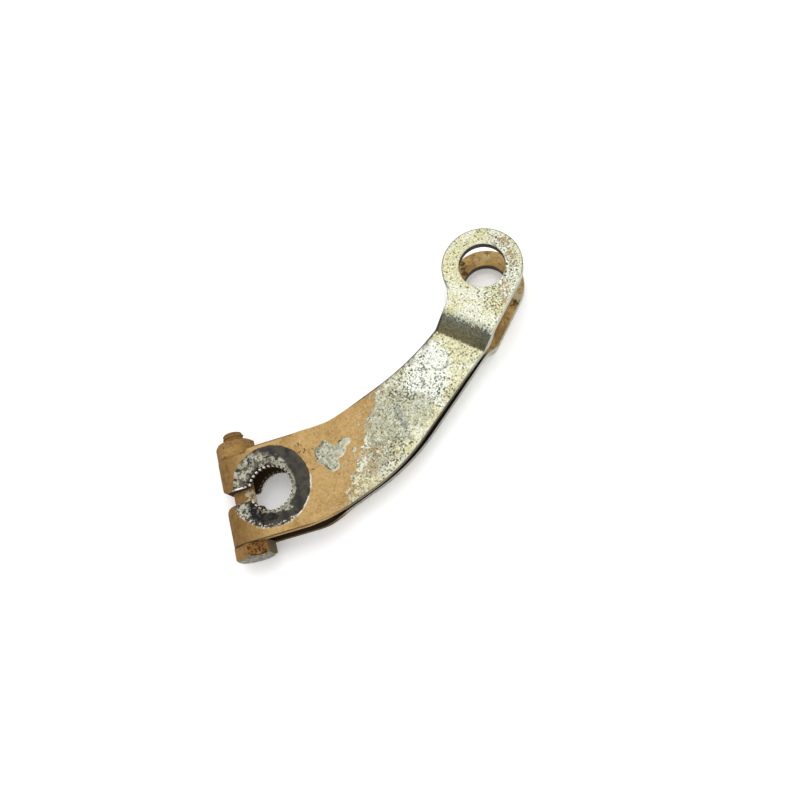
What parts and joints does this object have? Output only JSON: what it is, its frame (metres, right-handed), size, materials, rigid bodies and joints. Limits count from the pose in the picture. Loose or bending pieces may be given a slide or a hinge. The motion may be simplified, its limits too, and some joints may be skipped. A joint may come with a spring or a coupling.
{
  "type": "brake cam lever",
  "caption": "Curved folded steel lever with a serrated pinch-clamp bore at one end and an open clevis fork with aligned holes at the other.",
  "frame": {"origin": "centre of the serrated bore, midway between the two leaves", "axes": "+Z along the bore axis out of the front leaf, +X from the bore towards the clevis hole, +Y towards the pinch nut's side of the lever"},
  "size_m": [0.1179, 0.045, 0.017],
  "materials": {
    "strap_zinc": "worn yellowish zinc plate, the clamp end caked with dry tan dust",
    "bolt_steel": "zinc-plated steel under tan dust with brown rust on the head's sides",
    "nut_steel": "steel caked with dry tan dust"
  },
  "bodies": {
    "lever": {"folded_strap": "strap_zinc"},
    "bolt": {"pinch_bolt": "bolt_steel"},
    "nut": {"pinch_nut": "nut_steel"}
  },
  "joints": [
    {"name": "pinch_bolt_turn", "type": "hinge", "parent": "lever", "child": "bolt", "pos_m": [-0.00793, 0.00466, 0], "axis": [0.506, 0.8625, 0], "range_deg": [-450, 0]},
    {"name": "pinch_nut_travel", "type": "slide", "parent": "lever", "child": "nut", "axis": [0.506, 0.8625, 0], "range_m": [0, 0.00125]}
  ],
  "couplings": [
    {"joint": "pinch_nut_travel", "follows": "pinch_bolt_turn", "m_per_rad": -0.00015915}
  ]
}
